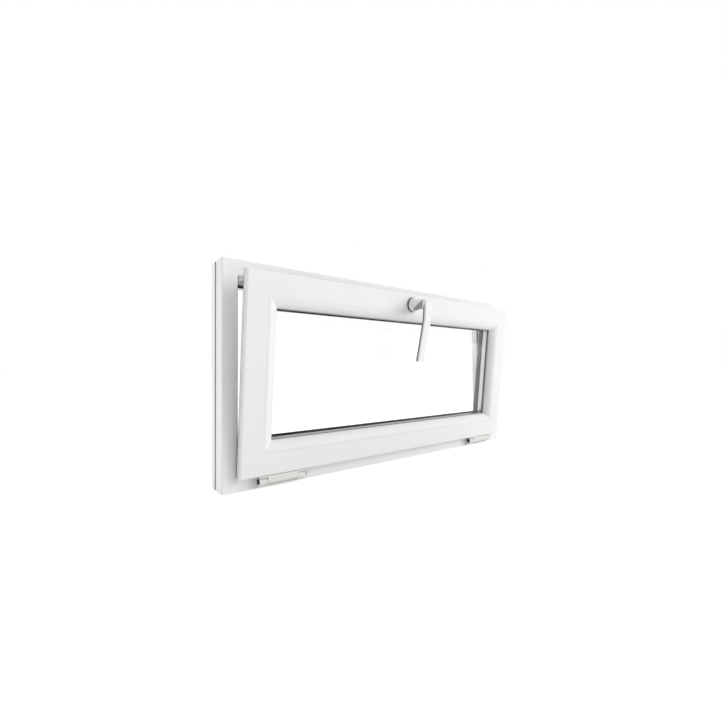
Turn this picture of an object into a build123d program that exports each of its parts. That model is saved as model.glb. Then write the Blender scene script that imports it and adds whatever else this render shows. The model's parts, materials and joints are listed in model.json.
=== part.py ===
"""A white bottom-hung window: a leaf that tilts into the room inside a mitred frame.

X runs to the right as seen from the room, -Y points into the room, +Y outdoors and +Z up.
The origin is on the underside of the frame, in the middle of its width and of its depth.
The leaf is drawn shut and then swung open about its hinge line, which is how it rests.
Profiles are drawn once, from their outer edge inward (X) and from the room outdoors (Y).
"""
from build123d import *
import os
from math import asin, cos, degrees, radians, sin, tan

# Window
window_width = 800.0
window_height = 400.0
open_angle = 6.0

# Frame profile
frame_depth = 60.0
frame_face = 27.0        # face seen from the room, up to the rebate
frame_leg = 41.0         # reach of the outer leg that the leaf shuts against
leg_thickness = 18.0
gutter_width = 8.0       # drain gutter of the rebate, in front of the outer leg
gutter_depth = 2.5
frame_round = 1.5
leg_round = 2.5
groove_width = 4.0       # fixing groove round the outside of the frame
groove_depth = 4.0
groove_setback = 22.0    # from the outdoor face to the groove
line_width = 1.2         # two fine lines beside that groove
line_depth = 1.2
line_setbacks = (37.0, 56.6)

# Leaf profile
leaf_inset = 23.0        # outer edge of the leaf from the outer edge of the frame
leaf_proud = 15.0        # how far the leaf stands out of the frame when shut
leaf_face = 41.0         # leaf profile seen from the room, without its bead
leaf_round = 4.0
leaf_line = 5.0          # fine line round the leaf's edge, behind its face
back_round = 1.5
rebate_gap = 12.0        # between the frame's rebate and the body of the shut leaf
seal_gap = 3.0           # between frame and leaf where the seals close it
leg_slope = 3.0          # slope of the leaf's outer glazing leg
fitting_groove = 16.2    # groove round the leaf for lock bar and stay tracks
fitting_depth = 2.5
fitting_line = 18.0      # middle of that groove behind the frame's room face
clip_setback = 6.0       # clip groove of the beads behind the leaf's face
clip_width = 3.0
clip_depth = 3.0

# Glazing
bead_width = 19.0
bead_depth = 15.0
bead_flat = 3.0
bead_tip = 3.0
bead_bulge = 2.0
bead_round = 0.8
clip_clearance = 0.1
pane_thickness = 4.0
pane_cavity = 12.0
pane_edge_gap = 4.0
spacer_height = 15.5
gasket_thickness = 3.0
gasket_width = 6.0
inner_lip = 0.8          # how far the inner gasket shows past its bead
outer_lip = 3.5          # and the outer gasket past its leg

# Weather seals
leaf_seal_width = 3.0
frame_seal_width = 4.5
seal_setback = 0.5       # seals from the edge that they follow
seal_clearance = 0.3
seal_bevel = 0.8

# Hinges
hinge_length = 90.0
hinge_end = 60.0         # end of a hinge from the side of the frame
hinge_drop = 9.5         # hinge line below the leaf's lower edge
hinge_out = 9.0          # hinge line in front of the frame's face
hinge_base = 2.5
hinge_foot = 3.0         # fixed plate above the frame's underside
knuckle_radius = 5.5
knuckle_length = 15.0
pin_radius = 2.5
pin_head_radius = 3.6
pin_head_height = 1.0
leaf_plate = 2.4
turn_gap = 0.08          # running clearance round pins
side_gap = 0.5           # between knuckles

# Stays
stay_end = 48.0          # pivot of a stay from the side of the frame
stay_reach = 150.0       # from pivot to sliding pin
stay_width = 12.0
stay_thickness = 2.0
stay_pin_radius = 2.0
stay_pin_depth = 0.8     # sliding pin below the top of the leaf's body
fitting_plate = 1.5      # plates under the head
bracket_width = 14.0
bracket_outer = 15.0     # ends of a bracket from its pivot
bracket_inner = 31.0
block_length = 8.0
block_height = 3.5
pivot_radius = 2.5
pivot_head_radius = 4.5
pivot_head_height = 0.8
plate_gap = 0.3
track_length = 60.0
track_height = 3.0
slot_length = 20.0
slot_shift = 2.0         # middle of the slot from the shut pin, towards the pivot
slot_clearance = 0.6

# Lock
lock_bar_gap = 24.0      # between lock bar and stay tracks
lock_bar_width = 16.0
fitting_round = 2.0
cam_setback = 40.0       # cams from the ends of the lock bar
cam_radius = 3.0
cam_height = 8.8
cam_head_radius = 4.0
cam_head_height = 1.6
striker_length = 30.0
keeper_width = 3.0
keeper_height = 3.5
keeper_setback = 2.0
cam_clearance = 5.0

# Handle
handle_drop = 23.0       # turning axis below the leaf's upper edge
rosette_radius = 15.0
rosette_height = 9.0
rosette_bevel = 2.0
rosette_crown = 0.8      # second bevel, which leaves the rim nearly round
handle_gap = 0.3
handle_standoff = 46.0   # leaf's face to the middle of the lever
neck_radius = 12.5
neck_collar = 3.0
neck_length = 24.0
elbow_rise = 10.0
elbow_round = 8.0
elbow_inner_round = 6.0
lever_length = 125.0
lever_width = 21.0
lever_tip_width = 18.0
lever_thickness = 8.0
lever_straight = 35.0    # from the turning axis down to the bend
lever_bend = 8.0         # degrees towards the leaf
lever_round = 2.5

# Drain caps
drain_spacing = 500.0
drain_length = 42.0
drain_height = 12.0
drain_thickness = 5.0
drain_middle = 16.0
drain_round = 2.0
drain_bevel = 1.0
drain_slot = 3.0
drain_wall = 1.5

# Places that follow from these sizes
room_face = -frame_depth / 2
outdoor_face = frame_depth / 2
leg_front = frame_depth - leg_thickness
leaf_front = room_face - leaf_proud
leaf_depth = leg_front + leaf_proud - seal_gap
flange = frame_face + rebate_gap - leaf_inset
flange_depth = leaf_proud - seal_gap
glass_front = bead_depth + gasket_thickness
unit_thickness = 2 * pane_thickness + pane_cavity
glazing_depth = glass_front + unit_thickness + gasket_thickness
sight_edge = leaf_face + bead_width
seal_thickness = seal_gap - seal_clearance
hinge_y = room_face - hinge_out
hinge_z = leaf_inset - hinge_drop
hinge_line = Axis((0, hinge_y, hinge_z), (1, 0, 0))
body_top = window_height - leaf_inset - flange
groove_floor = body_top - fitting_depth
fitting_y = room_face + fitting_line
plate_under = window_height - frame_face - fitting_plate


def lengthwise(x):
    """A plane across the window's width at x, with its own X outdoors and Y up."""
    return Plane(origin=(x, 0, 0), x_dir=(0, 1, 0), z_dir=(1, 0, 0))


def upright(y):
    """An upright plane at depth y that faces outdoors, centred on the window."""
    return Plane(origin=(0, y, window_height / 2), x_dir=(-1, 0, 0), z_dir=(0, 1, 0))


def edge_lines(backs):
    """Corners of fine lines cut into the outer edge of a profile, from the outdoor end of
    each line to its room end."""
    corners = []
    for back in backs:
        front = back - line_width
        corners += [(0, back), (line_depth, back), (line_depth, front), (0, front)]
    return corners


def mitred(profile, middle, inward, along, length):
    """One mitred member: its profile drawn out both ways from the middle of its outer
    edge and cut at 45 degrees through both outer corners."""
    with BuildPart() as member:
        with BuildSketch(Plane(origin=middle, x_dir=inward,
                               z_dir=inward.cross(Vector(0, 1, 0)))):
            add(profile)
        extrude(amount=length / 2, both=True)
        for end in (1, -1):
            corner = middle + along * (end * length / 2)
            split(bisect_by=Plane(origin=corner, z_dir=-inward - along * end), keep=Keep.TOP)
    return member.part


def four_sides(profile, inset, front):
    """The four mitred members of a rectangle set in from the frame's outer edge."""
    width = window_width - 2 * inset
    height = window_height - 2 * inset
    up = Vector(0, 0, 1)
    right = Vector(1, 0, 0)
    side_z = window_height / 2
    return {
        "bottom": mitred(profile, Vector(0, front, inset), up, right, width),
        "top": mitred(profile, Vector(0, front, window_height - inset), -up, right, width),
        "left": mitred(profile, Vector(-width / 2, front, side_z), right, up, height),
        "right": mitred(profile, Vector(width / 2, front, side_z), -right, up, height),
    }


def ring(inset, width, start, depth, bevel=0.0):
    """A flat rectangular ring round the window, set in from the frame's outer edge.
    It grows from its start outdoors, or to the room where its depth is negative, and
    its free edges are bevelled."""
    with BuildPart() as band:
        with BuildSketch(upright(start)):
            Rectangle(window_width - 2 * inset, window_height - 2 * inset)
            Rectangle(window_width - 2 * (inset + width),
                      window_height - 2 * (inset + width), mode=Mode.SUBTRACT)
        extrude(amount=depth)
        if bevel:
            free_face = band.faces().sort_by(Axis.Y)[0 if depth < 0 else -1]
            chamfer(free_face.edges(), bevel)
    return band.part


def opened(solid):
    """A piece of the leaf, taken from where it is shut to where it rests."""
    return solid.rotate(hinge_line, open_angle)


def save(solid, name):
    solid.label = name
    export_step(solid, f"parts/{name}.step")


os.makedirs("parts", exist_ok=True)

# Frame: sill, head and jambs
groove_back = frame_depth - groove_setback
groove_front = groove_back - groove_width
line_backs = [frame_depth - setback for setback in line_setbacks]
gutter_front = leg_front - gutter_width
gutter_floor = frame_face - gutter_depth
with BuildSketch() as frame_profile:
    with BuildLine():
        Polyline((0, 0), (frame_face, 0), (frame_face, gutter_front),
                 (gutter_floor, gutter_front), (gutter_floor, leg_front),
                 (frame_leg, leg_front), (frame_leg, frame_depth), (0, frame_depth),
                 (0, groove_back), (groove_depth, groove_back), (groove_depth, groove_front),
                 (0, groove_front), *edge_lines(line_backs), close=True)
    make_face()
    for point, radius in (((0, 0), frame_round), ((0, frame_depth), frame_round),
                          ((frame_face, 0), leg_round), ((frame_leg, frame_depth), leg_round)):
        fillet(frame_profile.vertices().sort_by_distance(point)[0], radius=radius)

frame_names = {"bottom": "frame_sill", "top": "frame_head",
               "left": "frame_left_jamb", "right": "frame_right_jamb"}
for side, member in four_sides(frame_profile.sketch, 0, room_face).items():
    save(member, frame_names[side])

save(ring(frame_leg - seal_setback - frame_seal_width, frame_seal_width,
          room_face + leg_front, -seal_thickness, seal_bevel), "frame_seal")

# Leaf: rails and stiles
fitting_middle = fitting_line + leaf_proud
fitting_front = fitting_middle - fitting_groove / 2
fitting_back = fitting_middle + fitting_groove / 2
with BuildSketch() as leaf_profile:
    with BuildLine():
        Polyline((0, 0), (leaf_face, 0), (leaf_face, clip_setback),
                 (leaf_face - clip_depth, clip_setback),
                 (leaf_face - clip_depth, clip_setback + clip_width),
                 (leaf_face, clip_setback + clip_width), (leaf_face, glazing_depth),
                 (sight_edge, glazing_depth), (sight_edge - leg_slope, leaf_depth),
                 (flange, leaf_depth), (flange, fitting_back),
                 (flange + fitting_depth, fitting_back),
                 (flange + fitting_depth, fitting_front), (flange, fitting_front),
                 (flange, flange_depth), (0, flange_depth),
                 *edge_lines([leaf_line + line_width]), close=True)
    make_face()
    for point, radius in (((0, 0), leaf_round), ((0, flange_depth), back_round),
                          ((flange, leaf_depth), back_round)):
        fillet(leaf_profile.vertices().sort_by_distance(point)[0], radius=radius)

leaf_names = {"bottom": "leaf_bottom_rail", "top": "leaf_top_rail",
              "left": "leaf_left_stile", "right": "leaf_right_stile"}
for side, member in four_sides(leaf_profile.sketch, leaf_inset, leaf_front).items():
    save(opened(member), leaf_names[side])

save(opened(ring(leaf_inset + seal_setback, leaf_seal_width, leaf_front + flange_depth,
                 seal_thickness, seal_bevel)), "leaf_seal")

# Glazing beads, clipped into the leaf
bead_start = Vector(bead_flat, 0)
bead_end = Vector(bead_width, bead_depth - bead_tip)
slope = (bead_end - bead_start).normalized()
crown = (bead_start + bead_end) * 0.5 + Vector(slope.Y, -slope.X) * bead_bulge
tongue_front = clip_setback + clip_clearance
tongue_back = clip_setback + clip_width - clip_clearance
with BuildSketch() as bead_profile:
    with BuildLine():
        Line((0, 0), bead_start)
        ThreePointArc(bead_start, crown, bead_end)
        Polyline(bead_end, (bead_width, bead_depth), (0, bead_depth), (0, tongue_back),
                 (clip_clearance - clip_depth, tongue_back),
                 (clip_clearance - clip_depth, tongue_front), (0, tongue_front), (0, 0))
    make_face()
    fillet(bead_profile.vertices().sort_by_distance((0, 0))[0], radius=bead_round)

for side, member in four_sides(bead_profile.sketch, leaf_inset + leaf_face, leaf_front).items():
    save(opened(member), f"bead_{side}")

# Double glazing, its spacer and its gaskets
pane_inset = leaf_inset + leaf_face + pane_edge_gap
pane_front = leaf_front + glass_front
pane_places = {"pane_inner": pane_front,
               "pane_outer": pane_front + pane_thickness + pane_cavity}
for name, front in pane_places.items():
    with BuildPart() as pane:
        with BuildSketch(upright(front)):
            Rectangle(window_width - 2 * pane_inset, window_height - 2 * pane_inset)
        extrude(amount=pane_thickness)
    save(opened(pane.part), name)

save(opened(ring(pane_inset, spacer_height, pane_front + pane_thickness, pane_cavity)),
     "spacer_frame")

gasket_inset = leaf_inset + sight_edge - gasket_width
save(opened(ring(gasket_inset + inner_lip, gasket_width, leaf_front + bead_depth,
                 gasket_thickness)), "glass_gasket_inner")
save(opened(ring(gasket_inset + outer_lip, gasket_width, pane_front + unit_thickness,
                 gasket_thickness)), "glass_gasket_outer")

# Hinges: a fixed plate with its pin on the sill, a swinging plate under the leaf
hinge_middle = window_width / 2 - hinge_end - hinge_length / 2
plate_height = hinge_z + knuckle_radius - hinge_foot
plate_place = Location((room_face - hinge_base / 2, hinge_foot + plate_height / 2))
wing_place = Location((leaf_front + flange_depth / 2, leaf_inset - leaf_plate / 2))
wing_width = flange_depth - 2 * side_gap
end_knuckle = (hinge_length - knuckle_length) / 2
cover_length = hinge_length - 2 * knuckle_length - 2 * side_gap
for side, hand in (("left", -1), ("right", 1)):
    middle = hand * hinge_middle
    with BuildPart() as fixed_plate:
        with BuildSketch(lengthwise(middle)):
            with Locations(plate_place):
                Rectangle(hinge_base, plate_height)
            with Locations((hinge_y, hinge_z)):
                Circle(pin_radius)
        extrude(amount=hinge_length / 2, both=True)
        for end in (-1, 1):
            with BuildSketch(lengthwise(middle + end * end_knuckle)):
                with Locations((hinge_y, hinge_z)):
                    Circle(knuckle_radius)
                with Locations(plate_place):
                    Rectangle(hinge_base, plate_height)
                make_hull()
            extrude(amount=knuckle_length / 2, both=True)
            with BuildSketch(lengthwise(middle + end * hinge_length / 2)):
                with Locations((hinge_y, hinge_z)):
                    Circle(pin_head_radius)
            extrude(amount=end * pin_head_height)
    save(fixed_plate.part, f"hinge_{side}_fixed")

    with BuildPart() as swinging_plate:
        with BuildSketch(lengthwise(middle)):
            with Locations(wing_place):
                Rectangle(wing_width, leaf_plate)
        extrude(amount=hinge_length / 2, both=True)
        with BuildSketch(lengthwise(middle)):
            with Locations((hinge_y, hinge_z)):
                Circle(knuckle_radius)
            with Locations(wing_place):
                Rectangle(wing_width, leaf_plate)
            make_hull()
            with Locations((hinge_y, hinge_z)):
                Circle(pin_radius + turn_gap, mode=Mode.SUBTRACT)
        extrude(amount=cover_length / 2, both=True)
    save(opened(swinging_plate.part), f"hinge_{side}_swinging")

# Stays: an arm from under the head to a slot on the leaf's top rail
arm_under = plate_under - plate_gap - stay_thickness
track_rise = groove_floor + track_height / 2 - hinge_z
shut_offset = fitting_y - hinge_y
open_offset = (shut_offset * cos(radians(open_angle))
               - track_rise * sin(radians(open_angle)))
stay_angle = degrees(asin((shut_offset - open_offset) / stay_reach))
track_middle = window_width / 2 - stay_end - stay_reach + slot_shift
for side, hand in (("left", -1), ("right", 1)):
    pivot_x = hand * (window_width / 2 - stay_end)
    bracket_middle = pivot_x + hand * (bracket_outer - bracket_inner) / 2
    block_middle = pivot_x + hand * (bracket_outer - block_length / 2)
    with BuildPart() as bracket:
        with BuildSketch(Plane.XY.offset(plate_under)):
            with Locations((bracket_middle, fitting_y)):
                Rectangle(bracket_outer + bracket_inner, bracket_width)
        extrude(amount=fitting_plate)
        with BuildSketch(Plane.XY.offset(plate_under)):
            with Locations((block_middle, fitting_y)):
                RectangleRounded(block_length, bracket_width, fitting_round)
        extrude(amount=-block_height)
        with BuildSketch(Plane.XY.offset(plate_under)):
            with Locations((pivot_x, fitting_y)):
                Circle(pivot_radius)
        extrude(amount=-(stay_thickness + 2 * plate_gap))
        with BuildSketch(Plane.XY.offset(arm_under - plate_gap)):
            with Locations((pivot_x, fitting_y)):
                Circle(pivot_head_radius)
        extrude(amount=-pivot_head_height)
    save(bracket.part, f"stay_{side}_bracket")

    to_pin = (-hand * cos(radians(stay_angle)), -sin(radians(stay_angle)), 0)
    arm_plane = Plane(origin=(pivot_x, fitting_y, arm_under), x_dir=to_pin, z_dir=(0, 0, 1))
    with BuildPart() as arm:
        with BuildSketch(arm_plane):
            with Locations((stay_reach / 2, 0)):
                SlotCenterToCenter(stay_reach, stay_width)
            Circle(pivot_radius + turn_gap, mode=Mode.SUBTRACT)
        extrude(amount=stay_thickness)
        with BuildSketch(arm_plane):
            with Locations((stay_reach, 0)):
                Circle(stay_pin_radius)
        extrude(amount=body_top - stay_pin_depth - arm_under)
    save(arm.part, f"stay_{side}_arm")

    with BuildPart() as track:
        with BuildSketch(Plane.XY.offset(groove_floor)):
            with Locations((hand * track_middle, fitting_y)):
                RectangleRounded(track_length, lock_bar_width, fitting_round)
                SlotOverall(slot_length, 2 * (stay_pin_radius + slot_clearance),
                            mode=Mode.SUBTRACT)
        extrude(amount=track_height)
    save(opened(track.part), f"stay_{side}_track")

# Lock bar with mushroom cams, and the strikers that they turn behind
lock_bar_length = 2 * (track_middle - track_length / 2 - lock_bar_gap)
cam_x = lock_bar_length / 2 - cam_setback
with BuildPart() as lock_bar:
    with BuildSketch(Plane.XY.offset(groove_floor)):
        with Locations((0, fitting_y)):
            RectangleRounded(lock_bar_length, lock_bar_width, fitting_round)
    extrude(amount=fitting_depth)
    with BuildSketch(Plane.XY.offset(body_top)):
        with Locations((-cam_x, fitting_y), (cam_x, fitting_y)):
            Circle(cam_radius)
    extrude(amount=cam_height)
    with BuildSketch(Plane.XY.offset(body_top + cam_height)):
        with Locations((-cam_x, fitting_y), (cam_x, fitting_y)):
            Circle(cam_head_radius)
    extrude(amount=-cam_head_height)
save(opened(lock_bar.part), "lock_bar")

striker_x = cam_x + cam_head_radius + cam_clearance + striker_length / 2
keeper_y = fitting_y - (lock_bar_width - keeper_width) / 2
for side, hand in (("left", -1), ("right", 1)):
    with BuildPart() as striker:
        with BuildSketch(Plane.XY.offset(plate_under)):
            with Locations((hand * striker_x, fitting_y)):
                RectangleRounded(striker_length, lock_bar_width, fitting_round)
        extrude(amount=fitting_plate)
        with BuildSketch(Plane.XY.offset(plate_under)):
            with Locations((hand * striker_x, keeper_y)):
                Rectangle(striker_length - 2 * keeper_setback, keeper_width)
        extrude(amount=-keeper_height)
    save(striker.part, f"striker_{side}")

# Handle: a round rosette on the leaf, and a lever bent towards the leaf
handle_z = window_height - leaf_inset - handle_drop
handle_side = Plane(origin=(0, leaf_front, handle_z), x_dir=(0, -1, 0), z_dir=(-1, 0, 0))
handle_front = Plane(origin=(0, leaf_front, handle_z), x_dir=(1, 0, 0), z_dir=(0, -1, 0))
with BuildPart() as rosette:
    with BuildSketch(handle_front):
        Circle(rosette_radius)
    extrude(amount=rosette_height)
    for bevel in (rosette_bevel, rosette_crown):
        chamfer(rosette.faces().sort_by(Axis.Y)[0].edges(), bevel)
save(opened(rosette.part), "handle_rosette")

lever_back = handle_standoff - lever_thickness / 2
lever_front = handle_standoff + lever_thickness / 2
tip_shift = (lever_length - lever_straight) * tan(radians(lever_bend))
neck_start = rosette_height + handle_gap
neck_rise = elbow_rise - lever_round / 2
with BuildPart() as lever:
    with BuildSketch(handle_side):
        with BuildLine():
            Polyline((neck_length, elbow_rise), (lever_front, elbow_rise),
                     (lever_front, -lever_straight),
                     (lever_front - tip_shift, -lever_length),
                     (lever_back - tip_shift, -lever_length), (lever_back, -lever_straight),
                     (lever_back, -elbow_rise), (neck_length, -elbow_rise), close=True)
        make_face()
    extrude(amount=lever_tip_width, both=True)
    for corner, radius in (((lever_front, elbow_rise), elbow_round),
                           ((lever_back, -elbow_rise), elbow_inner_round)):
        across = lever.edges().filter_by(Axis.X)
        fillet(across.sort_by_distance(handle_side.from_local_coords(corner))[0],
               radius=radius)
    with BuildSketch(handle_front):
        with BuildLine():
            Polyline((-lever_width / 2, elbow_rise), (lever_width / 2, elbow_rise),
                     (lever_tip_width / 2, -lever_length),
                     (-lever_tip_width / 2, -lever_length), close=True)
        make_face()
    extrude(amount=2 * handle_standoff, mode=Mode.INTERSECT)
    neck_joint = lever.faces().sort_by(Axis.Y)[-1].edges()
    fillet([edge for edge in lever.edges()
            if not any(edge.is_same(other) for other in neck_joint)], radius=lever_round)
    with BuildSketch(handle_side):
        with BuildLine():
            Polyline((neck_start, 0), (neck_start, neck_radius),
                     (neck_start + neck_collar, neck_radius),
                     (neck_length + lever_round, neck_rise),
                     (neck_length + elbow_inner_round, neck_rise),
                     (neck_length + elbow_inner_round, 0), close=True)
        make_face()
    revolve(axis=Axis((0, leaf_front, handle_z), (0, -1, 0)))
save(opened(lever.part), "handle_lever")

# Drain caps on the outdoor face of the sill, open along their lower edge
for side, hand in (("left", -1), ("right", 1)):
    cap_place = Plane(origin=(hand * drain_spacing / 2, outdoor_face, drain_middle),
                      x_dir=(-1, 0, 0), z_dir=(0, 1, 0))
    with BuildPart() as drain_cap:
        with BuildSketch(cap_place):
            RectangleRounded(drain_length, drain_height, drain_round)
        extrude(amount=drain_thickness)
        chamfer(drain_cap.faces().sort_by(Axis.Y)[-1].edges(), drain_bevel)
        with BuildSketch(cap_place):
            with Locations((0, -(drain_height - drain_slot) / 2)):
                Rectangle(drain_length - 4 * drain_wall, drain_slot)
        extrude(amount=drain_thickness - drain_wall, mode=Mode.SUBTRACT)
    save(drain_cap.part, f"drain_cap_{side}")
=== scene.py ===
# %% [markdown]
# # A bottom-hung window, dressed for its picture
#
# The window comes from the CAD model: every profile, pane, seal and fitting is already
# there, at its real place and in metres. Blender adds what a drawing in solids leaves
# out: the plastic, rubber, glass and plated steel, the welded corners, and the small
# screws and slots that a workshop puts in by the dozen. X runs to the right as seen from
# the room, Y points outdoors and Z points up. The leaf rests tilted into the room.

import json
from math import cos, pi, radians, sin, tan

import bpy
from mathutils import Matrix, Vector


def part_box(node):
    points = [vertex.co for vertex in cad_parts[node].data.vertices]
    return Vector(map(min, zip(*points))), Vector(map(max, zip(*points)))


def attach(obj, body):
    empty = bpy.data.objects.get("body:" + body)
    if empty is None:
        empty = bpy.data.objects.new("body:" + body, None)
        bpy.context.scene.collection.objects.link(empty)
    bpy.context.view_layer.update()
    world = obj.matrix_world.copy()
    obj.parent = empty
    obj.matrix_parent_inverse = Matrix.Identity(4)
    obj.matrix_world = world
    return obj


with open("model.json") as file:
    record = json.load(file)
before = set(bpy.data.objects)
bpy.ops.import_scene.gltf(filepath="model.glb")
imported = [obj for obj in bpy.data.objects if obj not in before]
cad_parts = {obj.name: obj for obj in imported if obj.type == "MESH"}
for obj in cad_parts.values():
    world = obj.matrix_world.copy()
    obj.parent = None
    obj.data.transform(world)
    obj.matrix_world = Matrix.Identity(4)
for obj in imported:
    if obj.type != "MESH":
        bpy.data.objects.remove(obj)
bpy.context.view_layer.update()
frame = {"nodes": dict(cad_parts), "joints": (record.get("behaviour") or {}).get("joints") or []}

# %% [markdown]
# ## The camera
#
# The camera was found by fitting the corners of the frame and of the leaf to the
# photograph. It stands 0.6 m to the left of the window's middle and about as far in front
# of it. That is close, so the near side looks almost twice as high as the far one, and a
# wide lens goes with it.

# %% Place the camera
IMAGE_SIZE = 724
CAMERA_PLACE = (-0.5928, -0.6657, 0.2056)
focal_pixels = 371.6
yaw, pitch, roll = radians(37.54), radians(1.35), radians(-0.45)

forward = Vector((sin(yaw) * cos(pitch), cos(yaw) * cos(pitch), sin(pitch)))
level_right = Vector((cos(yaw), -sin(yaw), 0))
level_up = level_right.cross(forward)
right = level_right * cos(roll) + level_up * sin(roll)
up = level_up * cos(roll) - level_right * sin(roll)

camera = bpy.data.objects.new("camera", bpy.data.cameras.new("camera"))
camera.data.sensor_width = 36
camera.data.lens = focal_pixels / IMAGE_SIZE * camera.data.sensor_width
camera.data.clip_start = 0.01
turn = Matrix((right, up, -forward)).transposed().to_4x4()
camera.matrix_world = Matrix.Translation(CAMERA_PLACE) @ turn
bpy.context.scene.collection.objects.link(camera)
bpy.context.scene.camera = camera
print("lens", round(camera.data.lens, 2), "mm")

# %% [markdown]
# ## A few small helpers
#
# Every material and every node tree below is written with one function that adds a node,
# sets its options and fills its inputs, with a value or with the output of another node.
# Colours are noted as a painter would, in sRGB hex, and turned to linear light here. Most
# materials mix two shades of one colour, so that has a function of its own.

# %% Helpers for nodes and colours
def add(tree, kind, inputs=None, **options):
    """Adds a node to a tree, with its options and its inputs by name or number."""
    made = tree.nodes.new(kind)
    for option, value in options.items():
        setattr(made, option, value)
    for name, value in (inputs or {}).items():
        if isinstance(value, bpy.types.NodeSocket):
            tree.links.new(value, made.inputs[name])
        else:
            made.inputs[name].default_value = value
    return made


def linear(hex_colour):
    """The linear RGBA of an sRGB colour such as "F2F2F0"."""
    channels = [int(hex_colour[i:i + 2], 16) / 255 for i in (0, 2, 4)]
    return [c / 12.92 if c <= 0.04045 else ((c + 0.055) / 1.055) ** 2.4
            for c in channels] + [1.0]


def mix_colours(tree, factor, first, second):
    """Mixes two colours, each in sRGB hex or from another node, and gives the result."""
    first, second = (linear(colour) if isinstance(colour, str) else colour
                     for colour in (first, second))
    return add(tree, "ShaderNodeMix", {"Factor": factor, 6: first, 7: second},
               data_type="RGBA").outputs[2]


def new_material(name):
    """An empty node material and its tree."""
    material = bpy.data.materials.new(name)
    material.use_nodes = True
    material.node_tree.nodes.clear()
    return material, material.node_tree


def finish_material(material, surface):
    """Joins a shader node to the material's output."""
    output = add(material.node_tree, "ShaderNodeOutputMaterial")
    material.node_tree.links.new(surface.outputs[0], output.inputs["Surface"])
    return material


def paint(material, *nodes):
    """Gives CAD nodes a material, and leaves their meshes alone."""
    for name in nodes:
        piece = frame["nodes"][name]
        piece.data.materials.clear()
        piece.data.materials.append(material)
    print(material.name, "on", len(nodes), "pieces")


# %% [markdown]
# ## Where the leaf lies
#
# The leaf hangs six degrees open, so a pattern that runs along its rails has to be turned
# with it. A Mapping node turns the object's coordinates back to those of the shut leaf,
# round the hinge line that the CAD model's joint gives.

# %% The leaf's turn
tilt = next(joint for joint in frame["joints"] if joint["name"] == "leaf_tilt")
hinge_line = Vector(tilt["pos_m"])
open_angle = -radians(tilt["range_deg"][0])
open_turn = Matrix.Rotation(open_angle, 3, "X")
shut_shift = hinge_line - open_turn.inverted() @ hinge_line
window_width, window_height = 0.8, 0.4
print("leaf is open by", round(open_angle * 180 / pi, 2), "degrees")


def opened(point):
    """Where a point of the shut leaf lies on the open one."""
    return open_turn @ (Vector(point) - hinge_line) + hinge_line


def shut(point):
    """Where a point of the open leaf lies on the shut one."""
    return open_turn.inverted() @ (Vector(point) - hinge_line) + hinge_line


def turn_open(piece):
    """Turns a piece that was drawn on the shut leaf to where the leaf rests."""
    for vertex in piece.data.vertices:
        vertex.co = opened(vertex.co)


def window_coordinates(tree, on_leaf):
    """Object coordinates, turned back to the shut leaf for what belongs to it."""
    place = add(tree, "ShaderNodeTexCoord").outputs["Object"]
    if not on_leaf:
        return place
    mapping = add(tree, "ShaderNodeMapping", {
        "Vector": place, "Location": shut_shift, "Rotation": (-open_angle, 0, 0)})
    return mapping.outputs["Vector"]


# %% [markdown]
# ## White window plastic
#
# Frame, leaf and glazing beads are extruded rigid PVC. The die leaves very faint lines
# along each bar, so the gloss is a little streaky lengthwise. The bars are cut at 45
# degrees and welded, and the weld is planed off to a shallow groove with a thin grey line
# in it. All the mitres of a rectangle lie where a point is as far from the side as from
# the top or bottom, so one formula draws the weld on every member.

# %% Extruded plastic with its weld lines
DIE_LINE_SPACING = 0.0021    # real lines are finer: drawn coarse enough to show
WELD_WIDTH = 0.0009
WELD_COLOUR = "F0F0F1"


def mitre_distance(tree, place):
    """How far a point is from the nearest 45 degree mitre, in metres."""
    parts = add(tree, "ShaderNodeSeparateXYZ", {"Vector": place})
    sideways = add(tree, "ShaderNodeMath", {0: parts.outputs["X"]}, operation="ABSOLUTE")
    from_side = add(tree, "ShaderNodeMath", {0: window_width / 2, 1: sideways.outputs[0]},
                    operation="SUBTRACT")
    upright = add(tree, "ShaderNodeMath", {0: parts.outputs["Z"], 1: window_height / 2},
                  operation="SUBTRACT")
    off_middle = add(tree, "ShaderNodeMath", {0: upright.outputs[0]}, operation="ABSOLUTE")
    from_end = add(tree, "ShaderNodeMath", {0: window_height / 2, 1: off_middle.outputs[0]},
                   operation="SUBTRACT")
    difference = add(tree, "ShaderNodeMath", {0: from_side.outputs[0],
                                              1: from_end.outputs[0]}, operation="SUBTRACT")
    return add(tree, "ShaderNodeMath", {0: difference.outputs[0]},
               operation="ABSOLUTE").outputs[0]


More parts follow.
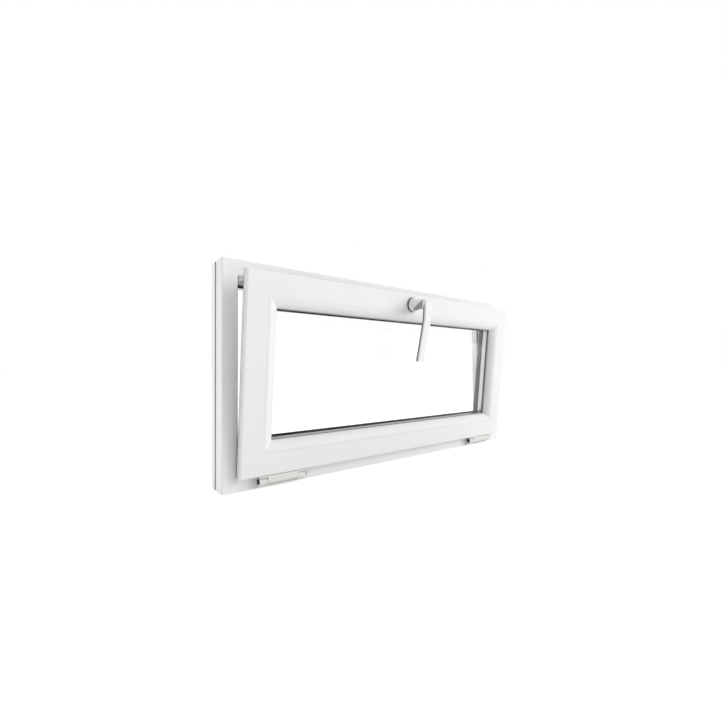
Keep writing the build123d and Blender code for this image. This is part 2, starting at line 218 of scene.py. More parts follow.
def extruded_plastic(name, colour, shade, runs_level, on_leaf, roughness=0.32):
    """Rigid white PVC: smooth, a soft gloss, die lines along it and welds at the corners."""
    material, tree = new_material(name)
    place = window_coordinates(tree, on_leaf)
    across = 1 / DIE_LINE_SPACING
    squeeze = (2.0, across, across) if runs_level else (across, across, 2.0)
    stretched = add(tree, "ShaderNodeMapping", {"Vector": place, "Scale": squeeze})
    die_lines = add(tree, "ShaderNodeTexNoise", {"Vector": stretched.outputs["Vector"],
                                                 "Scale": 1.0, "Detail": 3.0})
    clouds = add(tree, "ShaderNodeTexNoise", {"Vector": place, "Scale": 14.0, "Detail": 2.0})
    weld = add(tree, "ShaderNodeMapRange", {"Value": mitre_distance(tree, place),
                                            "From Min": WELD_WIDTH * 0.35,
                                            "From Max": WELD_WIDTH, "To Min": 1.0,
                                            "To Max": 0.0}, interpolation_type="SMOOTHSTEP")
    plain = mix_colours(tree, clouds.outputs["Fac"], colour, shade)
    welded = mix_colours(tree, weld.outputs["Result"], plain, WELD_COLOUR)
    gloss = add(tree, "ShaderNodeMapRange", {"Value": die_lines.outputs["Fac"],
                                             "To Min": roughness - 0.05,
                                             "To Max": roughness + 0.07})
    lines = add(tree, "ShaderNodeBump", {"Height": die_lines.outputs["Fac"],
                                         "Strength": 0.10, "Distance": 0.0001})
    groove = add(tree, "ShaderNodeBump", {"Height": weld.outputs["Result"],
                                          "Normal": lines.outputs["Normal"],
                                          "Strength": 0.06, "Distance": 0.0003}, invert=True)
    plastic = add(tree, "ShaderNodeBsdfPrincipled", {
        "Base Color": welded, "Roughness": gloss.outputs["Result"],
        "Normal": groove.outputs["Normal"], "IOR": 1.53})
    return finish_material(material, plastic)


# Frame and leaf are the same white PVC. The frame's is painted lighter to lift it out of the
# shade that the leaf casts on it, and the leaf's a touch darker against the light on its face:
# painted light and painted shade.
paint(extruded_plastic("extruded_pvc_frame_level", "F7F7F9", "F4F4F7", True, False),
      "frame_sill", "frame_head")
paint(extruded_plastic("extruded_pvc_frame_upright", "F7F7F9", "F4F4F7", False, False),
      "frame_left_jamb", "frame_right_jamb")
paint(extruded_plastic("extruded_pvc_leaf_level", "F1F1F2", "EEEEEF", True, True),
      "leaf_bottom_rail", "leaf_top_rail", "bead_bottom", "bead_top")
paint(extruded_plastic("extruded_pvc_leaf_upright", "F1F1F2", "EEEEEF", False, True),
      "leaf_left_stile", "leaf_right_stile", "bead_left", "bead_right")


# %% [markdown]
# ## Moulded plastic
#
# The caps over the drain slots are injection moulded in the same white. Spark erosion
# leaves a fine even grain on the mould, so they look a touch duller than the profiles.

# %% Moulded caps
def moulded_plastic(name, colour, grain):
    """White moulded plastic with an eroded grain of the given size in metres."""
    material, tree = new_material(name)
    place = add(tree, "ShaderNodeTexCoord").outputs["Object"]
    speckle = add(tree, "ShaderNodeTexNoise", {"Vector": place, "Scale": 1 / grain,
                                               "Detail": 2.0})
    gloss = add(tree, "ShaderNodeMapRange", {"Value": speckle.outputs["Fac"],
                                             "To Min": 0.42, "To Max": 0.55})
    skin = add(tree, "ShaderNodeBump", {"Height": speckle.outputs["Fac"], "Strength": 0.25,
                                        "Distance": 0.0001})
    plastic = add(tree, "ShaderNodeBsdfPrincipled", {
        "Base Color": linear(colour), "Roughness": gloss.outputs["Result"],
        "Normal": skin.outputs["Normal"], "IOR": 1.5})
    return finish_material(material, plastic)


paint(moulded_plastic("moulded_pvc", "EDEEEF", 0.0009), "drain_cap_left", "drain_cap_right")


# %% [markdown]
# ## Rubber seals
#
# Weather seals and glazing gaskets are extruded EPDM rubber, matt and nearly black, with
# a slight bloom where talc and dust settle. Its skin scatters light at a flat angle, which
# a little sheen stands for. The gasket on the room's side of the glass is a grey grade,
# which shows in the photograph as the paler line next to the bead.

# %% EPDM rubber
def extruded_rubber(name, colour, bloom):
    """Matt EPDM with a faint bloom in patches."""
    material, tree = new_material(name)
    place = add(tree, "ShaderNodeTexCoord").outputs["Object"]
    patches = add(tree, "ShaderNodeTexNoise", {"Vector": place, "Scale": 55.0, "Detail": 4.0})
    skin = add(tree, "ShaderNodeTexNoise", {"Vector": place, "Scale": 1400.0, "Detail": 1.0})
    tint = mix_colours(tree, patches.outputs["Fac"], colour, bloom)
    grain = add(tree, "ShaderNodeBump", {"Height": skin.outputs["Fac"], "Strength": 0.3,
                                         "Distance": 0.0001})
    gloss = add(tree, "ShaderNodeMapRange", {"Value": patches.outputs["Fac"],
                                             "To Min": 0.55, "To Max": 0.75})
    rubber = add(tree, "ShaderNodeBsdfPrincipled", {
        "Base Color": tint, "Roughness": gloss.outputs["Result"],
        "Normal": grain.outputs["Normal"], "IOR": 1.52, "Sheen Weight": 0.08})
    return finish_material(material, rubber)


# Black EPDM for seals, gaskets and the hinge pins' caps and washers; the same black also paints
# shade as the strips, ring and slot plates below.
epdm_rubber_and_painted_shade = extruded_rubber("epdm_rubber_and_painted_shade", "161618", "242427")
paint(epdm_rubber_and_painted_shade, "leaf_seal", "frame_seal", "glass_gasket_outer")
paint(extruded_rubber("grey_epdm_rubber", "8E8E92", "98989C"), "glass_gasket_inner")


# %% [markdown]
# ## Float glass
#
# Two panes of clear float glass. Iron in the glass shows only at the cut edges, which
# the beads hide, so the panes are all but colourless. A solid sheet with real thickness
# and an index of 1.52 bends light as glass does. The photograph shows hardly a reflection,
# as on coated glass, so the specular tint is a grey that takes the reflection down.

# %% Clear glass
def float_glass(name, colour):
    """Clear float glass, with a roughness that only fingerprints and dust would raise."""
    material, tree = new_material(name)
    place = add(tree, "ShaderNodeTexCoord").outputs["Object"]
    haze = add(tree, "ShaderNodeTexNoise", {"Vector": place, "Scale": 9.0, "Detail": 5.0})
    film = add(tree, "ShaderNodeMapRange", {"Value": haze.outputs["Fac"],
                                            "From Min": 0.55, "From Max": 0.9,
                                            "To Min": 0.0, "To Max": 0.02})
    glass = add(tree, "ShaderNodeBsdfPrincipled", {
        "Base Color": linear(colour), "Roughness": film.outputs["Result"], "IOR": 1.52,
        "Transmission Weight": 1.0, "Specular Tint": linear("707273")})
    return finish_material(material, glass)


paint(float_glass("float_glass", "FEFFFF"), "pane_inner", "pane_outer")


# %% [markdown]
# ## Aluminium, zinc and lacquer
#
# The spacer between the panes is rolled aluminium, bright but brushed by the rollers. The
# fittings in the rebate are stamped steel with a zinc coat, whose crystals break the shine
# into pale patches. Hinges, stay brackets and handle are lacquered metal, a warmer white
# than the plastic round them, with the low waves that powder takes when it melts.

# %% Rolled aluminium
def rolled_aluminium(name, colour):
    """Bare rolled aluminium with fine lines along the strip."""
    material, tree = new_material(name)
    place = window_coordinates(tree, True)
    lines = add(tree, "ShaderNodeMapping", {"Vector": place, "Scale": (60, 2200, 60)})
    rolled = add(tree, "ShaderNodeTexNoise", {"Vector": lines.outputs["Vector"],
                                              "Scale": 1.0, "Detail": 2.0})
    gloss = add(tree, "ShaderNodeMapRange", {"Value": rolled.outputs["Fac"],
                                             "To Min": 0.28, "To Max": 0.46})
    ridges = add(tree, "ShaderNodeBump", {"Height": rolled.outputs["Fac"], "Strength": 0.2,
                                          "Distance": 0.00005})
    metal = add(tree, "ShaderNodeBsdfPrincipled", {
        "Base Color": linear(colour), "Metallic": 1.0,
        "Roughness": gloss.outputs["Result"], "Normal": ridges.outputs["Normal"]})
    return finish_material(material, metal)


paint(rolled_aluminium("rolled_aluminium", "E9EAEB"), "spacer_frame")


# %% Zinc-plated steel
def zinc_plate(name, bright, dull):
    """Bright zinc plating: a metal in pale patches, a little duller where it was handled."""
    material, tree = new_material(name)
    place = add(tree, "ShaderNodeTexCoord").outputs["Object"]
    crystals = add(tree, "ShaderNodeTexVoronoi", {"Vector": place, "Scale": 420.0})
    handling = add(tree, "ShaderNodeTexNoise", {"Vector": place, "Scale": 70.0,
                                                "Detail": 4.0})
    tint = mix_colours(tree, handling.outputs["Fac"], bright, dull)
    gloss = add(tree, "ShaderNodeMapRange", {"Value": crystals.outputs["Distance"],
                                             "To Min": 0.3, "To Max": 0.46})
    metal = add(tree, "ShaderNodeBsdfPrincipled", {
        "Base Color": tint, "Metallic": 1.0,
        "Roughness": gloss.outputs["Result"]})
    return finish_material(material, metal)


zinc_plated_steel = zinc_plate("zinc_plated_steel", "D4D3CF", "BDBAB2")
paint(zinc_plated_steel, "striker_left", "striker_right", "stay_left_track",
      "stay_right_track", "lock_bar", "stay_left_arm", "stay_right_arm")


# %% Powder lacquer
# The grey that paints the shade on the underside of the handle's neck.
NECK_PAINTED_SHADE = "9E9EA1"


def powder_lacquer(name, colour, shade, wave, roughness, painted_shade_mask=None):
    """Baked powder on metal, with waves of the given size in metres in its skin. Where the mask,
    a function of the tree, gives one, a grey is painted in as shade."""
    material, tree = new_material(name)
    place = add(tree, "ShaderNodeTexCoord").outputs["Object"]
    waves = add(tree, "ShaderNodeTexNoise", {"Vector": place, "Scale": 1 / wave,
                                             "Detail": 1.0})
    clouds = add(tree, "ShaderNodeTexNoise", {"Vector": place, "Scale": 60.0, "Detail": 2.0})
    coat = mix_colours(tree, clouds.outputs["Fac"], colour, shade)
    gloss = add(tree, "ShaderNodeMapRange", {"Value": clouds.outputs["Fac"],
                                             "To Min": roughness - 0.04,
                                             "To Max": roughness + 0.06})
    skin = add(tree, "ShaderNodeBump", {"Height": waves.outputs["Fac"], "Strength": 0.12,
                                        "Distance": 0.0002})
    # Painted shade: where the mask gives one, the colour turns grey.
    shown = mix_colours(tree, painted_shade_mask(tree), coat, NECK_PAINTED_SHADE) if painted_shade_mask else coat
    lacquer = add(tree, "ShaderNodeBsdfPrincipled", {
        "Base Color": shown, "Roughness": gloss.outputs["Result"],
        "Normal": skin.outputs["Normal"], "IOR": 1.5})
    return finish_material(material, lacquer)


# One lacquer in two tones: darker on the hinges, and lighter on the stay brackets, where the
# lighter tone is painted light against the shade deep in the rebate.
paint(powder_lacquer("hinge_powder_lacquer", "E9E9E5", "E4E4DF", 0.0016, 0.38),
      "hinge_left_fixed", "hinge_right_fixed", "hinge_left_swinging",
      "hinge_right_swinging")
paint(powder_lacquer("bracket_powder_lacquer", "F7F6F1", "F3F2EC", 0.0016, 0.38),
      "stay_left_bracket", "stay_right_bracket")
paint(powder_lacquer("handle_powder_lacquer", "F6F6F5", "F1F1F0", 0.0018, 0.3),
      "handle_rosette")

# %% [markdown]
# ## The neck of the handle
#
# The photograph shows the neck white above and grey below, parted by a slanting line from the
# foot of the neck to the top of the elbow. The grey is the shade under the neck, painted into
# the lever's colour: a mask in its material follows that line. It reads coordinates turned back
# to the shut leaf, and it turns with the lever.

# %% Painted shade under the neck
handle_turn = next(joint for joint in frame["joints"] if joint["name"] == "handle_turn")
pivot = shut(handle_turn["pos_m"])
LEAF_FACE = -0.045         # room side of the shut leaf
NECK_FALL = 0.67           # fall of the slanting line, towards the leaf
NECK_LINE = 0.048          # puts the line through the foot of the neck
NECK_REACH = 0.025         # lowest part that the mask can reach, below the pivot
LEVER_BACK = -0.0855       # just short of the lever, where the neck ends
LINE_BLUR, END_BLUR = 0.0004, 0.0008


def painted_shade_under_neck(tree):
    """One on the neck below the slanting line, where the shade is painted, zero above it and on
    the lever.
    """
    parts = add(tree, "ShaderNodeSeparateXYZ", {"Vector": window_coordinates(tree, True)})
    slant = add(tree, "ShaderNodeMath", {0: parts.outputs["Y"], 1: NECK_FALL,
                                         2: parts.outputs["Z"]}, operation="MULTIPLY_ADD")
    line = pivot.z - NECK_LINE
    below = add(tree, "ShaderNodeMapRange", {
        "Value": slant.outputs[0], "From Min": line - LINE_BLUR,
        "From Max": line + LINE_BLUR, "To Min": 1.0, "To Max": 0.0})
    behind = add(tree, "ShaderNodeMapRange", {
        "Value": parts.outputs["Y"], "From Min": LEVER_BACK,
        "From Max": LEVER_BACK + END_BLUR})
    near_neck = add(tree, "ShaderNodeMath", {0: parts.outputs["Z"], 1: pivot.z - NECK_REACH},
                    operation="GREATER_THAN")
    mask = add(tree, "ShaderNodeMath", {0: below.outputs[0], 1: behind.outputs[0]},
               operation="MULTIPLY")
    return add(tree, "ShaderNodeMath", {0: mask.outputs[0], 1: near_neck.outputs[0]},
               operation="MULTIPLY").outputs[0]


# The lever's lacquer, with painted shade under the neck.
paint(powder_lacquer("lever_powder_lacquer", "F6F6F5", "F1F1F0", 0.0018, 0.3, painted_shade_under_neck),
      "handle_lever")

# %% [markdown]
# ## Screws, made once and set out by Geometry Nodes
#
# The plates in the rebate are held by small countersunk screws with a cross recess. Each
# looks the same, so one tree models the head from a cone and cuts its recess, then sets it
# on every point of a mesh. The heads face the way that the plates do: down under the frame's
# head, and up along the leaf's own upright on its top rail.

# %% The start and the end of every tree
def geometry_tree(name, inputs):
    """A Geometry Nodes tree with inputs of the given kinds, and the sockets they give."""
    tree = bpy.data.node_groups.new(name, "GeometryNodeTree")
    for label, kind in {"Geometry": "Geometry", **inputs, "Material": "Material"}.items():
        tree.interface.new_socket(name=label, in_out="INPUT",
                                  socket_type="NodeSocket" + kind)
    tree.interface.new_socket(name="Geometry", in_out="OUTPUT",
                              socket_type="NodeSocketGeometry")
    return tree, add(tree, "NodeGroupInput").outputs


def finish_tree(tree, geometry, material):
    """Gives the geometry its material and joins it to the tree's output."""
    finished = add(tree, "GeometryNodeSetMaterial", {"Geometry": geometry,
                                                     "Material": material})
    end = add(tree, "NodeGroupOutput")
    tree.links.new(finished.outputs[0], end.inputs[0])
    return tree


# %% A tree for screw heads
def cross_screws():
    """A node tree that puts a cross-recess screw head on each point of a mesh."""
    tree, given = geometry_tree("cross_screws", {
        "Head Radius": "Float", "Head Height": "Float", "Recess Width": "Float",
        "Facing": "Vector"})
    rim = add(tree, "ShaderNodeMath", {0: given["Head Radius"], 1: 0.8}, operation="MULTIPLY")
    head = add(tree, "GeometryNodeMeshCone", {
        "Vertices": 24, "Radius Top": rim.outputs[0], "Radius Bottom": given["Head Radius"],
        "Depth": given["Head Height"]})
    reach = add(tree, "ShaderNodeMath", {0: given["Head Radius"], 1: 1.1},
                operation="MULTIPLY")
    lengthwise = add(tree, "ShaderNodeCombineXYZ", {
        "X": reach.outputs[0], "Y": given["Recess Width"], "Z": given["Head Height"]})
    crosswise = add(tree, "ShaderNodeCombineXYZ", {
        "X": given["Recess Width"], "Y": reach.outputs[0], "Z": given["Head Height"]})
    bars = [add(tree, "GeometryNodeMeshCube", {"Size": size.outputs[0]})
            for size in (lengthwise, crosswise)]
    lifted = add(tree, "ShaderNodeMath", {0: given["Head Height"], 1: 1.35},
                 operation="MULTIPLY")
    height = add(tree, "ShaderNodeCombineXYZ", {"Z": lifted.outputs[0]})
    cut = add(tree, "GeometryNodeMeshBoolean", {"Self Intersection": True},
              operation="DIFFERENCE", solver="EXACT")
    tree.links.new(head.outputs["Mesh"], cut.inputs[0])
    for bar in bars:
        moved = add(tree, "GeometryNodeTransform", {"Geometry": bar.outputs["Mesh"],
                                                    "Translation": height.outputs[0]})
        tree.links.new(moved.outputs[0], cut.inputs[1])
    turned = add(tree, "FunctionNodeEulerToRotation", {"Euler": given["Facing"]})
    placed = add(tree, "GeometryNodeInstanceOnPoints", {
        "Points": given["Geometry"], "Instance": cut.outputs[0],
        "Rotation": turned.outputs[0]})
    real = add(tree, "GeometryNodeRealizeInstances", {"Geometry": placed.outputs[0]})
    return finish_tree(tree, real.outputs[0], given["Material"])


# %% From node tree to plain mesh
def point_mesh(name, points, edges=()):
    """An object whose mesh is points, and perhaps edges, for a tree to work on."""
    mesh = bpy.data.meshes.new(name)
    mesh.from_pydata([tuple(point) for point in points], edges, [])
    made = bpy.data.objects.new(name, mesh)
    bpy.context.scene.collection.objects.link(made)
    return made


def run_tree(piece, tree, values):
    """Runs a node tree on an object and keeps its result as a plain mesh."""
    modifier = piece.modifiers.new(tree.name, "NODES")
    modifier.node_group = tree
    for item in tree.interface.items_tree:
        if item.in_out == "INPUT" and item.name in values:
            modifier[item.identifier] = values[item.name]
    evaluated = piece.evaluated_get(bpy.context.evaluated_depsgraph_get())
    mesh = bpy.data.meshes.new_from_object(evaluated)
    piece.modifiers.clear()
    piece.data = mesh
    print(piece.name, len(mesh.polygons), "faces")
    return piece


# %% Screws in the frame's plates
screw_tree = cross_screws()
SCREW = {"Head Radius": 0.0026, "Head Height": 0.0004, "Recess Width": 0.0008,
         "Material": zinc_plated_steel}
STRIKER_SCREWS = (-0.009, 0.009)     # along the striker, from its middle
BRACKET_SCREWS = (0.006, 0.017)      # from the bracket's middle, towards the window's
PLATE_THICKNESS = 0.0015


def middle(node):
    """Middle of a CAD node's box."""
    low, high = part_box(node)
    return (low + high) / 2


plate_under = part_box("striker_left")[1].z - PLATE_THICKNESS
frame_points = []
for side, hand in (("left", -1), ("right", 1)):
    striker = middle(f"striker_{side}")
    for offset in STRIKER_SCREWS:
        frame_points.append((striker.x + offset, striker.y + 0.002, plate_under))
    bracket = middle(f"stay_{side}_bracket")
    for offset in BRACKET_SCREWS:
        frame_points.append((bracket.x - hand * offset, bracket.y + 0.0005, plate_under))
frame_screws = run_tree(point_mesh("frame_screws", frame_points), screw_tree,
                        {**SCREW, "Head Height": 0.0002, "Facing": (pi, 0, 0)})
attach(frame_screws, "frame")

# %% Screws in the leaf's plates
BODY_TOP = 0.361           # top of the shut leaf's body, level with the lock bar
FITTING_Y = -0.012         # middle of the groove that holds bar and tracks
BAR_SCREWS = (-0.138, -0.085, -0.04, 0.04, 0.085, 0.138)
TRACK_MIDDLE, TRACK_SCREWS, TRACK_RISE = 0.204, (-0.024, 0.024), 0.0005
leaf_points = [opened((x, FITTING_Y, BODY_TOP)) for x in BAR_SCREWS]
for hand in (-1, 1):
    for offset in TRACK_SCREWS:
        leaf_points.append(opened((hand * TRACK_MIDDLE + offset, FITTING_Y,
                                   BODY_TOP + TRACK_RISE)))
leaf_screws = run_tree(point_mesh("leaf_screws", leaf_points), screw_tree,
                       {**SCREW, "Facing": (open_angle, 0, 0)})
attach(leaf_screws, "leaf")

# %% [markdown]
# ## Black plastic at the hinges
#
# A hinge pin is kept from rattling by black nylon: a cap on each end of the pin, and a
# thin washer in each gap between the knuckles. A cap is a low cone with a smaller one on
# top, and a washer is a disc with the pin's hole cut out, so one tree can make either.

# %% Caps and washers on the hinge pins
def stepped_discs():
    """A node tree that sets a disc with a step, and a hole if one is asked for, on
    each point, all facing along X."""
    tree, given = geometry_tree("stepped_discs", {
        "Radius": "Float", "Thickness": "Float", "Step Radius": "Float",
        "Step Height": "Float", "Hole": "Float"})
    base = add(tree, "GeometryNodeMeshCylinder", {
        "Vertices": 28, "Radius": given["Radius"], "Depth": given["Thickness"]})
    step = add(tree, "GeometryNodeMeshCylinder", {
        "Vertices": 28, "Radius": given["Step Radius"], "Depth": given["Step Height"]})
    bore = add(tree, "GeometryNodeMeshCylinder", {
        "Vertices": 28, "Radius": given["Hole"], "Depth": 0.02})
    whole = add(tree, "GeometryNodeMeshBoolean", operation="UNION")
    tree.links.new(base.outputs["Mesh"], whole.inputs[1])
    tree.links.new(step.outputs["Mesh"], whole.inputs[1])
    cut = add(tree, "GeometryNodeMeshBoolean", {0: whole.outputs[0]}, operation="DIFFERENCE")
    tree.links.new(bore.outputs["Mesh"], cut.inputs[1])
    placed = add(tree, "GeometryNodeInstanceOnPoints", {"Points": given["Geometry"],
                                                        "Instance": cut.outputs[0]})
    turned = add(tree, "GeometryNodeRotateInstances", {"Instances": placed.outputs[0],
                                                       "Rotation": (0, pi / 2, 0)})
    real = add(tree, "GeometryNodeRealizeInstances", {"Geometry": turned.outputs[0]})
    return finish_tree(tree, real.outputs[0], given["Material"])


disc_tree = stepped_discs()
CAP_OFFSET, WASHER_OFFSET = 0.0458, 0.02975    # from the hinge's middle, along its pin
cap_points, washer_points = [], []
for side in ("left", "right"):
    low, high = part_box(f"hinge_{side}_fixed")
    centre = (low.x + high.x) / 2
    for hand in (-1, 1):
        cap_points.append((centre + hand * CAP_OFFSET, hinge_line.y, hinge_line.z))
        washer_points.append((centre + hand * WASHER_OFFSET, hinge_line.y, hinge_line.z))
pin_caps = run_tree(point_mesh("pin_caps", cap_points), disc_tree, {
    "Radius": 0.0046, "Thickness": 0.0015, "Step Radius": 0.0036, "Step Height": 0.0022,
    "Hole": 0.0008, "Material": epdm_rubber_and_painted_shade})
pin_washers = run_tree(point_mesh("pin_washers", washer_points), disc_tree, {
    "Radius": 0.0052, "Thickness": 0.00028, "Step Radius": 0.004, "Step Height": 0.00032,
    "Hole": 0.0027, "Material": epdm_rubber_and_painted_shade})
for piece in (pin_caps, pin_washers):
    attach(piece, "frame")

# %% [markdown]
# ## Black strips round the window
#
# Three black strips run all the way round. One fills the groove round the outside of the frame,
# and bulges 0.6 mm out of it at the sides and the top: it is the shade in that groove, painted
# black. A thin one fills the fine line in the leaf's edge and paints the shade on the leaf's
# side. The third is a black strip that darkens the slope of the leaf beyond the glass. Each
# follows a rectangle and bends a little at its corners, so that is the path, and a section with
# rounded edges is drawn along it. The slope turns the section for the third strip.

# %% Black strips, two of them painted shade
def section_on_path():
    """A node tree that draws a rounded rectangular section along a closed path."""
    tree, given = geometry_tree("section_on_path", {
        "Bend": "Float", "Width": "Float", "Depth": "Float", "Edge": "Float",
        "Slope": "Float"})
    path = add(tree, "GeometryNodeMeshToCurve", {"Mesh": given["Geometry"]})
    rounded = add(tree, "GeometryNodeFilletCurve", {
        "Curve": path.outputs[0], "Count": 6, "Radius": given["Bend"]}, mode="POLY")
    outline = add(tree, "GeometryNodeCurvePrimitiveQuadrilateral", {
        "Width": given["Depth"], "Height": given["Width"]})
    section = add(tree, "GeometryNodeFilletCurve", {
        "Curve": outline.outputs[0], "Count": 3, "Radius": given["Edge"]}, mode="POLY")
    angle = add(tree, "ShaderNodeCombineXYZ", {"Z": given["Slope"]})
    sloped = add(tree, "GeometryNodeTransform", {"Geometry": section.outputs[0],
                                                 "Rotation": angle.outputs[0]})
    swept = add(tree, "GeometryNodeCurveToMesh", {"Curve": rounded.outputs[0],
                                                  "Profile Curve": sloped.outputs[0]})
    return finish_tree(tree, swept.outputs[0], given["Material"])


def closed_path(name, points):
    """A ring of edges through some points."""
    ring = [(number, (number + 1) % len(points)) for number in range(len(points))]
    return point_mesh(name, points, ring)


def rectangle_path(name, inset, depth):
    """A closed path round the window, set in from its outer edge, at a given depth."""
    half, low, high = window_width / 2 - inset, inset, window_height - inset
    return closed_path(name, [(-half, depth, low), (half, depth, low),
                              (half, depth, high), (-half, depth, high)])


section_tree = section_on_path()
# Painted shade: a black strip that fills the groove round the frame.
GROOVE_SHADE_BULGE, GROOVE_SHADE_WIDTH = 0.0006, 0.0022
GROOVE_SHADE_Y = 0.006             # middle of the frame's groove
GROOVE_SHADE_FOOT = 0.0012         # the run below stays above what the frame stands on
groove_shade_x = window_width / 2 + GROOVE_SHADE_BULGE - GROOVE_SHADE_WIDTH / 2
groove_shade_top = window_height + GROOVE_SHADE_BULGE - GROOVE_SHADE_WIDTH / 2
groove_shade_strip = run_tree(closed_path("groove_shade_strip", [
    (-groove_shade_x, GROOVE_SHADE_Y, GROOVE_SHADE_FOOT), (groove_shade_x, GROOVE_SHADE_Y, GROOVE_SHADE_FOOT), (groove_shade_x, GROOVE_SHADE_Y, groove_shade_top),
    (-groove_shade_x, GROOVE_SHADE_Y, groove_shade_top)]), section_tree, {
    "Bend": 0.001, "Width": GROOVE_SHADE_WIDTH, "Depth": 0.0037, "Edge": 0.0006,
    "Material": epdm_rubber_and_painted_shade})
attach(groove_shade_strip, "frame")

# Painted shade: a thin black strip in the fine line of the leaf's edge.
EDGE_INSET, EDGE_Y = 0.02355, -0.0394             # the fine line in the leaf's edge
# A black strip that darkens the slope of the leaf beyond the glass.
SLOPE_STRIP_INSET, SLOPE_STRIP_Y, SLOPE_STRIP_ANGLE = 0.0819, 0.0015, -0.227
leaf_edge_shade_strip = run_tree(rectangle_path("leaf_edge_shade_strip", EDGE_INSET, EDGE_Y), section_tree, {
    "Bend": 0.0005, "Width": 0.001, "Depth": 0.0011, "Edge": 0.0002,
    "Material": epdm_rubber_and_painted_shade})
leaf_slope_strip = run_tree(rectangle_path("leaf_slope_strip", SLOPE_STRIP_INSET, SLOPE_STRIP_Y), section_tree, {
    "Bend": 0.0003, "Width": 0.0006, "Depth": 0.0105, "Edge": 0.0001,
    "Slope": SLOPE_STRIP_ANGLE, "Material": epdm_rubber_and_painted_shade})
for piece in (leaf_edge_shade_strip, leaf_slope_strip):
    turn_open(piece)
    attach(piece, "leaf")

# %% [markdown]
# ## Painted shade on the handle
#
# The photograph shows a dark crescent at the left of the rosette and a dark line down the
# lever's edge, which are shade on the sides turned away from the light. That shade is painted as
# a black ring between rosette and leaf, and as a black strip let into each side of the lever.
# The same tree draws both: the ring along a circle, and the strips along a path that comes to
# the surface only on the lever's two sides.

# %% Ring and lever strips of painted shade
RING_POINTS, RING_RADIUS = 24, 0.0153
RING_LIFT = 0.0017                         # leaf's face to the middle of the ring
LEVER_DROP, LEVER_RISE = 0.125, 0.011      # taper: from the tip to 1 mm over the lever's top
LEVER_HALF, LEVER_TAPER = 0.0105, 0.0015   # half its width at the top, and what it loses
LEVER_STANDOFF = 0.046                     # leaf's face to the middle of the lever
BEND_DROP, BEND = 0.035, radians(8)        # where it bends towards the leaf
STRIP_INSET = 0.0001
STRIP_DROPS = (0.1225, BEND_DROP, 0.004)   # the strips' ends and bend, below the pivot

ring_path = []
for number in range(RING_POINTS):
    angle = 2 * pi * number / RING_POINTS
    ring_path.append((RING_RADIUS * sin(angle), LEAF_FACE - RING_LIFT,
                      pivot.z - RING_RADIUS * cos(angle)))
# A black ring that paints the shade round the rosette's foot.
rosette_shade_ring = run_tree(closed_path("rosette_shade_ring", ring_path), section_tree, {
    "Bend": 0.004, "Width": 0.0016, "Depth": 0.0032, "Edge": 0.0003,
    "Material": epdm_rubber_and_painted_shade})


def lever_side(drop):
    """A point on the lever's right side, at some distance below the pivot."""
    share = (drop + LEVER_RISE) / (LEVER_DROP + LEVER_RISE)
    half = LEVER_HALF - LEVER_TAPER * share - STRIP_INSET
    depth = LEAF_FACE - LEVER_STANDOFF + max(drop - BEND_DROP, 0) * tan(BEND)
    return half, depth, pivot.z - drop


right_side = [lever_side(drop) for drop in STRIP_DROPS]
left_side = [(-x, y, z) for x, y, z in right_side]
lever_path = left_side[:1] + right_side + left_side[:0:-1]
# Black strips that paint the shade on the lever's two sides.
lever_shade_strips = run_tree(closed_path("lever_shade_strips", lever_path), section_tree, {
    "Bend": 0.0002, "Width": 0.001, "Depth": 0.0034, "Edge": 0.0002,
    "Material": epdm_rubber_and_painted_shade})
for piece, body in ((rosette_shade_ring, "leaf"), (lever_shade_strips, "handle")):
    turn_open(piece)
    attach(piece, body)

# %% [markdown]
# ## Slots in the spacer
#
# A spacer holds a drying agent, which breathes through two rows of tiny slots that face the
# cavity. They follow the spacer's inner edge all the way round, so a curve with evenly spaced
# points carries them. Each is a thin dark plate just proud of the metal, which paints the shade
# inside the slot.

# %% Breathing slots round the spacer
def slot_rows():
    """A node tree that sets slots along a rectangle, facing its middle."""
    tree, given = geometry_tree("slot_rows", {
        "Spacing": "Float", "Slot Size": "Vector", "Row Offset": "Float"})
    path = add(tree, "GeometryNodeMeshToCurve", {"Mesh": given["Geometry"]})
    points = add(tree, "GeometryNodeCurveToPoints", {
        "Curve": path.outputs[0], "Length": given["Spacing"]}, mode="LENGTH")
    slot = add(tree, "GeometryNodeMeshCube", {"Size": given["Slot Size"]})
    along = add(tree, "FunctionNodeAlignRotationToVector", {
        "Vector": points.outputs["Tangent"]}, axis="X")
    joined = add(tree, "GeometryNodeJoinGeometry")
    for side in (-1, 1):
        offset = add(tree, "ShaderNodeMath", {0: given["Row Offset"], 1: side},
                     operation="MULTIPLY")
        shift = add(tree, "ShaderNodeCombineXYZ", {"Y": offset.outputs[0]})
        row = add(tree, "GeometryNodeSetPosition", {"Geometry": points.outputs["Points"],
                                                    "Offset": shift.outputs[0]})
        placed = add(tree, "GeometryNodeInstanceOnPoints", {
            "Points": row.outputs[0], "Instance": slot.outputs["Mesh"],
            "Rotation": along.outputs[0]})
        tree.links.new(placed.outputs[0], joined.inputs[0])
    real = add(tree, "GeometryNodeRealizeInstances", {"Geometry": joined.outputs[0]})
    return finish_tree(tree, real.outputs[0], given["Material"])


LEAF_INSET, LEAF_WIDTH = 0.023, 0.041       # the leaf's outer edge, and its profile
GLASS_GAP, SPACER_HEIGHT = 0.004, 0.0155
BEAD_AND_GASKET, PANE, HALF_CAVITY = 0.018, 0.004, 0.006
spacer_edge = LEAF_INSET + LEAF_WIDTH + GLASS_GAP + SPACER_HEIGHT
spacer_middle = LEAF_FACE + BEAD_AND_GASKET + PANE + HALF_CAVITY
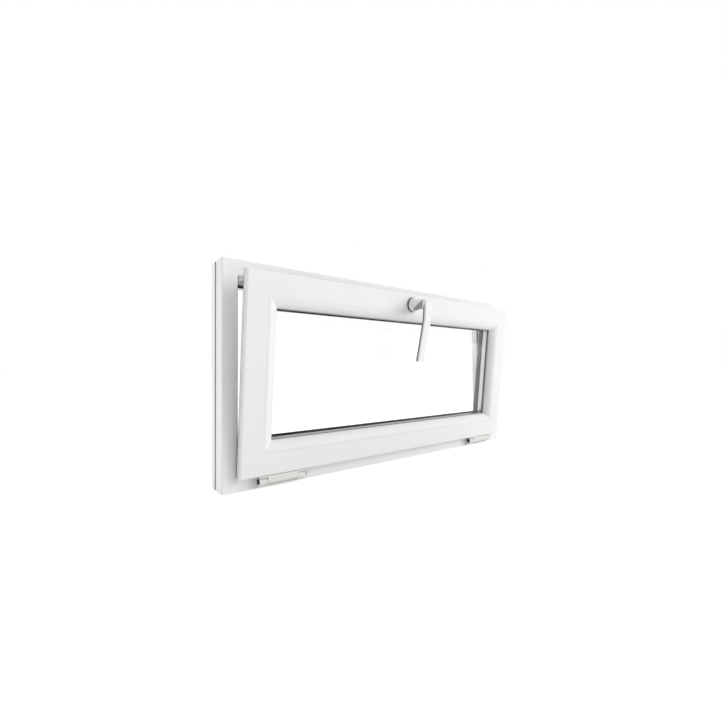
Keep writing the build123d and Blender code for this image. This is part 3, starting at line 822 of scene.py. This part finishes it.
# Dark plates that paint the shade inside the slots.
spacer_slots = run_tree(rectangle_path("spacer_slots", spacer_edge, spacer_middle),
                        slot_rows(), {"Spacing": 0.006,
                                      "Slot Size": (0.0022, 0.0005, 0.0002),
                                      "Row Offset": 0.0027, "Material": epdm_rubber_and_painted_shade})
turn_open(spacer_slots)
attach(spacer_slots, "leaf")

# %% [markdown]
# ## Floor, light and background
#
# The photograph has a plain white ground and soft light. A pale floor takes the window's
# shadow and glows enough to melt into the white world. The world is white where it is seen,
# and as a light it is stronger from outdoors and above than from the room's lower left,
# which leaves the near jamb in the leaf's shade. A large soft lamp at the upper right lights
# the fronts, and a small one at the left lights the frame's outer side.

# %% Studio
FLOOR_REACH = 30
BRIGHT_SIDE = (0.4, 0.7, 0.6)      # outdoors, above and to the right


def seen_by_camera(tree):
    """One where the camera sees a place, straight, mirrored or through glass, and zero
    where the place only lights the window."""
    rays = add(tree, "ShaderNodeLightPath").outputs
    seen = add(tree, "ShaderNodeMath", {0: rays["Is Camera Ray"], 1: rays["Is Glossy Ray"]},
               operation="MAXIMUM")
    seen = add(tree, "ShaderNodeMath", {0: seen.outputs[0], 1: rays["Is Transmission Ray"]},
               operation="MAXIMUM")
    straight = add(tree, "ShaderNodeMath", {0: rays["Diffuse Depth"], 1: 0.5},
                   operation="LESS_THAN")
    return add(tree, "ShaderNodeMath", {0: seen.outputs[0], 1: straight.outputs[0]},
               operation="MULTIPLY").outputs[0]


def floor_material():
    """A white floor that shows its shadows and burns out to white elsewhere."""
    material, tree = new_material("studio_floor")
    lift = add(tree, "ShaderNodeMapRange", {"Value": seen_by_camera(tree), "To Min": 0.12,
                                            "To Max": 0.5})
    ground = add(tree, "ShaderNodeBsdfDiffuse", {"Color": linear("E8E8E7")})
    glow = add(tree, "ShaderNodeEmission", {"Strength": lift.outputs[0]})
    both = add(tree, "ShaderNodeAddShader", {0: ground.outputs[0], 1: glow.outputs[0]})
    return finish_material(material, both)


floor_mesh = bpy.data.meshes.new("floor")
floor_mesh.from_pydata([(x * FLOOR_REACH, y * FLOOR_REACH, 0) for x, y in
                        ((-1, -1), (1, -1), (1, 1), (-1, 1))], [], [(0, 1, 2, 3)])
floor_mesh.materials.append(floor_material())
floor = bpy.data.objects.new("floor", floor_mesh)
bpy.context.scene.collection.objects.link(floor)

world = bpy.data.worlds.new("studio")
bpy.context.scene.world = world
world.use_nodes = True
world.node_tree.nodes.clear()
direction = add(world.node_tree, "ShaderNodeTexCoord").outputs["Generated"]
towards = add(world.node_tree, "ShaderNodeVectorMath", {0: direction, 1: BRIGHT_SIDE},
              operation="DOT_PRODUCT")
ambient = add(world.node_tree, "ShaderNodeMapRange", {
    "Value": towards.outputs["Value"], "From Min": -1.0, "From Max": 1.0, "To Min": 0.15,
    "To Max": 1.0})
strength = add(world.node_tree, "ShaderNodeMapRange", {
    "Value": seen_by_camera(world.node_tree), "To Min": ambient.outputs["Result"],
    "To Max": 1.0})
sky = add(world.node_tree, "ShaderNodeBackground", {
    "Color": (1, 1, 1, 1), "Strength": strength.outputs["Result"]})
ending = add(world.node_tree, "ShaderNodeOutputWorld")
world.node_tree.links.new(sky.outputs[0], ending.inputs["Surface"])


def soft_lamp(name, place, size, power):
    """A square lamp that faces the window, and that no glass or gloss shows."""
    light = bpy.data.lights.new(name, "AREA")
    light.size = size
    light.energy = power
    lamp = bpy.data.objects.new(name, light)
    lamp.location = place
    lamp.visible_camera = lamp.visible_glossy = lamp.visible_transmission = False
    lamp.rotation_euler = (Vector((0, 0, 0.2)) - lamp.location).to_track_quat(
        "-Z", "Y").to_euler()
    bpy.context.scene.collection.objects.link(lamp)
    return lamp


lamps = [soft_lamp("key_lamp", Vector((3.4, -3.2, 2.2)), 3.4, 144),
         soft_lamp("side_lamp", Vector((-3.0, 0.9, 0.7)), 0.9, 12)]
print("floor, world and", [lamp.name for lamp in lamps])
bpy.context.scene.view_settings.view_transform = "Standard"
